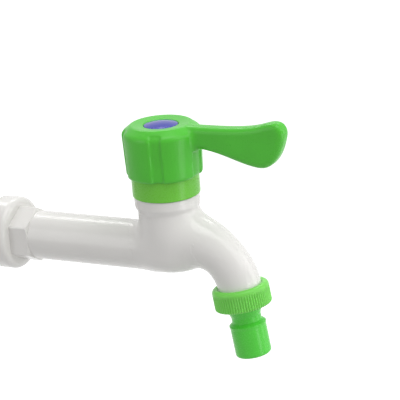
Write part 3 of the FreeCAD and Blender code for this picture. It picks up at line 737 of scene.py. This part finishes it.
class FAUCET_OT_blend(bpy.types.Operator):
    """Fill the corners where arm, chamber and spout meet with the moulding's soft blend."""
    bl_idname = "faucet.blend"
    bl_label = "Soft blend"

    def execute(self, context):
        """The zero surface of a shell between two depths, cut into cells.

        Outside lies the soft least of the depths under arm, chamber and spout, a hair prouder. Towards its
        rim it dips under the solid, with the smooth step of what it adds. Inside lies the plain least,
        wall deeper. Newton's steps along the slope then put the outer points on the soft surface itself.
        """
        hair, wall, dip = 0.008 * MM, 0.9 * MM, 0.04 * MM
        rim_share, near_share, newton_steps, probe = 0.75, 0.45, 4, 0.01 * MM
        before_arm, beyond_hinge, beside, lowest, highest = 24 * MM, 34 * MM, 3 * MM, -15 * MM, 24 * MM
        form = context.scene.faucet_blend
        low = np.array([form.arm_end - before_arm, -form.chamber_radius - beside, lowest])
        high = np.array([HINGE[0] + beyond_hinge, form.chamber_radius + beside, highest])
        counts = np.ceil((high - low) / form.cell).astype(int)
        ways = [low[k] + form.cell * np.arange(counts[k]) for k in range(3)]
        grid = np.stack(np.meshgrid(*ways, indexing="ij"), -1)

        def depths(place):
            """Soft and plain least of the three depths."""
            arm, chamber, spout = arm_depth(place, form), chamber_depth(place, form), spout_depth(place, form)
            soft = soft_least(soft_least(arm, chamber, form.arm_blend), spout, form.spout_reach)
            return soft, np.minimum(np.minimum(arm, chamber), spout)

        soft, plain = depths(grid)
        added = plain - soft
        shell = np.maximum(np.maximum(soft + hair, -plain - wall), 0.5 * hair - added)
        points, quads = zero_surface(shell, low, form.cell)
        for _ in range(newton_steps):
            soft, plain = depths(points)
            slope = np.stack([(depths(points + step)[0] - depths(points - step)[0]) / (2 * probe)
                              for step in np.eye(3) * probe], -1)
            outer = np.abs(soft + hair) < near_share * form.cell
            over = soft + hair + dip * (1 - smooth_step(0, rim_share * dip, plain - soft))
            points[outer] -= (over[:, None] * slope / (slope ** 2).sum(1)[:, None])[outer]
        mesh = bpy.data.meshes.new("soft_blend")
        mesh.from_pydata(points, [], quads.tolist())
        mesh.polygons.foreach_set("use_smooth", np.ones(len(quads), bool))
        piece = bpy.data.objects.new("soft_blend", mesh)
        context.scene.collection.objects.link(piece)
        mesh.materials.append(frame["nodes"]["body"].data.materials[0])
        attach(piece, FIXED_BODY)
        return {"FINISHED"}


class FAUCET_OT_button(bpy.types.Operator):
    """Set the domed blue button with its soft rim in the hub's top."""
    bl_idname = "faucet.button"
    bl_label = "Blue button"

    def execute(self, context):
        """A profile carried round the spindle axis: a wall, a small round, and a dome.

        The dome's height over its rim at radius r is dome * (1 - (r / R)^2). The underside is flat, and a
        pinhole at the axis keeps the innermost points apart.
        """
        soft, wall_band, pinhole, foot_bevel = 0.35 * MM, 0.2 * MM, 0.02 * MM, 0.1 * MM
        round_points, dome_points, columns = 8, 24, 128
        sizes = context.scene.faucet_sizes
        low, high = (np.array(corner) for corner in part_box("index_cap"))
        top = solid_points("index_cap")
        radius = (high[0] - low[0]) / 2
        wide = np.abs(np.linalg.norm(top[:, :2] - HINGE[:2], axis=1) - radius) < wall_band
        seat = top[wide, 2].min()
        rim = top[wide, 2].max()
        arc = np.linspace(0, math.pi / 2, round_points)
        edge = np.stack([radius - soft + soft * np.cos(arc), rim - soft + soft * np.sin(arc)], -1)
        r = np.linspace(radius - soft, pinhole, dome_points)[1:]
        dome = np.stack([r, rim + sizes.button_dome * (1 - (r / (radius - soft)) ** 2)], -1)
        under = np.array([[pinhole, seat], [radius - soft, seat], [radius, seat + foot_bevel]])
        profile = np.concatenate([under, edge, dome])
        foot = np.array([HINGE[0], HINGE[1], 0.0])
        points = turned_grid(profile, columns, foot, np.array([0.0, 0.0, 1.0]))
        colours = context.scene.faucet_colours
        surface_piece("domed_button", points, button_styrene(colours), TURNING_BODY,
                      replaced=("index_cap",))
        return {"FINISHED"}


class FAUCET_OT_stage(bpy.types.Operator):
    """Set up the camera, the white surroundings, the floor and the softboxes."""
    bl_idname = "faucet.stage"
    bl_label = "Studio and camera"

    def execute(self, context):
        view = context.scene.faucet_view
        studio = context.scene.faucet_studio
        context.scene.view_settings.view_transform = "Standard"
        place_camera(context.scene, view)
        white_surroundings(context.scene, studio)
        pale_floor(context.scene, studio)
        aim = Vector((view.aim_x, 0, view.aim_z))
        for name, (turn, rise, away, width, height) in SOFTBOXES.items():
            softbox(context.scene, name, aim, view.azimuth + math.radians(turn), math.radians(rise), away,
                    width, height, getattr(studio, name))
        return {"FINISHED"}


def toward(azimuth, elevation):
    """Unit vector from the object to a place at that azimuth and elevation, azimuth 0 being -Y."""
    level = math.cos(elevation)
    return Vector((math.sin(azimuth) * level, -math.cos(azimuth) * level, math.sin(elevation)))


def place_camera(scene, view):
    """The photograph's camera, rolled about its line of sight."""
    back = toward(view.azimuth, view.elevation)
    right = Vector((math.cos(view.azimuth), math.sin(view.azimuth), 0))
    up = back.cross(right)
    side = right * math.cos(view.roll) - up * math.sin(view.roll)
    top = right * math.sin(view.roll) + up * math.cos(view.roll)
    camera = bpy.data.objects.new("camera", bpy.data.cameras.new("camera"))
    scene.collection.objects.link(camera)
    place = Matrix((side, top, back)).transposed().to_4x4()
    place.translation = Vector((view.aim_x, 0, view.aim_z)) + back * view.distance
    camera.matrix_world = place
    camera.data.sensor_width = SENSOR_MM
    camera.data.lens = view.focal_pixels / PHOTO_PIXELS * SENSOR_MM
    camera.data.clip_end = 2 * FLOOR_REACH
    scene.camera = camera


def seen_directly(tree):
    """1 for rays that show the background: from the camera, a reflection or a view through glass."""
    path = add(tree, "ShaderNodeLightPath")
    seen = add(tree, "ShaderNodeMath", {
        0: path.outputs["Is Camera Ray"], 1: path.outputs["Is Glossy Ray"]}, operation="MAXIMUM")
    return add(tree, "ShaderNodeMath", {
        0: seen.outputs[0], 1: path.outputs["Is Transmission Ray"]}, operation="MAXIMUM").outputs[0]


def white_surroundings(scene, studio):
    """Even surroundings, white where they are seen and softer as a light."""
    scene.world = bpy.data.worlds.new("studio")
    scene.world.use_nodes = True
    tree = scene.world.node_tree
    tree.nodes.clear()
    strength = add(tree, "ShaderNodeMapRange", {0: seen_directly(tree), 3: studio.ambient, 4: 1.0})
    light = add(tree, "ShaderNodeBackground", {"Color": (1, 1, 1, 1), "Strength": strength.outputs[0]})
    add(tree, "ShaderNodeOutputWorld", {"Surface": light.outputs[0]})


def pale_floor(scene, studio):
    """Matt white paper far below, which keeps the object's shadow and glows where it is seen."""
    mesh = bpy.data.meshes.new("floor")
    square = ((-1, -1), (1, -1), (1, 1), (-1, 1))
    corners = [(x * FLOOR_REACH, y * FLOOR_REACH, -studio.floor_drop) for x, y in square]
    mesh.from_pydata(corners, [], [(0, 1, 2, 3)])
    floor = bpy.data.objects.new("floor", mesh)
    scene.collection.objects.link(floor)
    paper = bpy.data.materials.new("matt_white_paper")
    paper.use_nodes = True
    tree = paper.node_tree
    tree.nodes.clear()
    matt = add(tree, "ShaderNodeBsdfDiffuse", {"Color": linear(studio.floor_colour)})
    glow = add(tree, "ShaderNodeEmission", {"Color": (1, 1, 1, 1), "Strength": studio.floor_glow})
    lit = add(tree, "ShaderNodeAddShader", {0: matt.outputs[0], 1: glow.outputs[0]})
    both = add(tree, "ShaderNodeMixShader", {0: seen_directly(tree), 1: matt.outputs[0], 2: lit.outputs[0]})
    add(tree, "ShaderNodeOutputMaterial", {"Surface": both.outputs[0]})
    mesh.materials.append(paper)


def softbox(scene, name, aim, azimuth, elevation, away, width, height, power):
    """Rectangular area lamp that faces the aim."""
    lamp = bpy.data.lights.new(name + "_softbox", "AREA")
    lamp.shape = "RECTANGLE"
    lamp.size, lamp.size_y, lamp.energy = width, height, power
    out = toward(azimuth, elevation)
    holder = bpy.data.objects.new(name + "_softbox", lamp)
    holder.location = aim + out * away
    holder.rotation_euler = out.to_track_quat("Z", "Y").to_euler()
    scene.collection.objects.link(holder)


STEPS = (FAUCET_OT_mouldings, FAUCET_OT_cartridge, FAUCET_OT_thread, FAUCET_OT_blend, FAUCET_OT_nut,
         FAUCET_OT_button, FAUCET_OT_stage)
GROUPS = {
    "faucet_sizes": FaucetSizes,
    "faucet_blend": FaucetBlend,
    "faucet_colours": FaucetColours,
    "faucet_view": FaucetView,
    "faucet_studio": FaucetStudio,
}


class FAUCET_PT_sidebar(bpy.types.Panel):
    """Lists the faucet's steps and settings in the sidebar."""
    bl_idname = "FAUCET_PT_sidebar"
    bl_label = "Faucet"
    bl_space_type = "VIEW_3D"
    bl_region_type = "UI"
    bl_category = "Faucet"

    def draw(self, context):
        """A button for each step, then a box of fields for each group of settings."""
        for step in STEPS:
            self.layout.operator(step.bl_idname)
        for attribute, group in GROUPS.items():
            box = self.layout.box()
            for name in group.__annotations__:
                box.prop(getattr(context.scene, attribute), name)


def register():
    """Make the classes known to Blender and hang the settings on the scene."""
    for cls in (*GROUPS.values(), *STEPS, FAUCET_PT_sidebar):
        bpy.utils.register_class(cls)
    for attribute, group in GROUPS.items():
        setattr(bpy.types.Scene, attribute, PointerProperty(type=group))


def unregister():
    """Take back what register did."""
    for attribute in GROUPS:
        delattr(bpy.types.Scene, attribute)
    for cls in reversed((*GROUPS.values(), *STEPS, FAUCET_PT_sidebar)):
        bpy.utils.unregister_class(cls)


def main():
    """Register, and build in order."""
    register()
    bpy.ops.faucet.mouldings()
    bpy.ops.faucet.cartridge()
    bpy.ops.faucet.thread()
    bpy.ops.faucet.blend()
    bpy.ops.faucet.nut()
    bpy.ops.faucet.button()
    bpy.ops.faucet.stage()


if __name__ == "__main__":
    main()
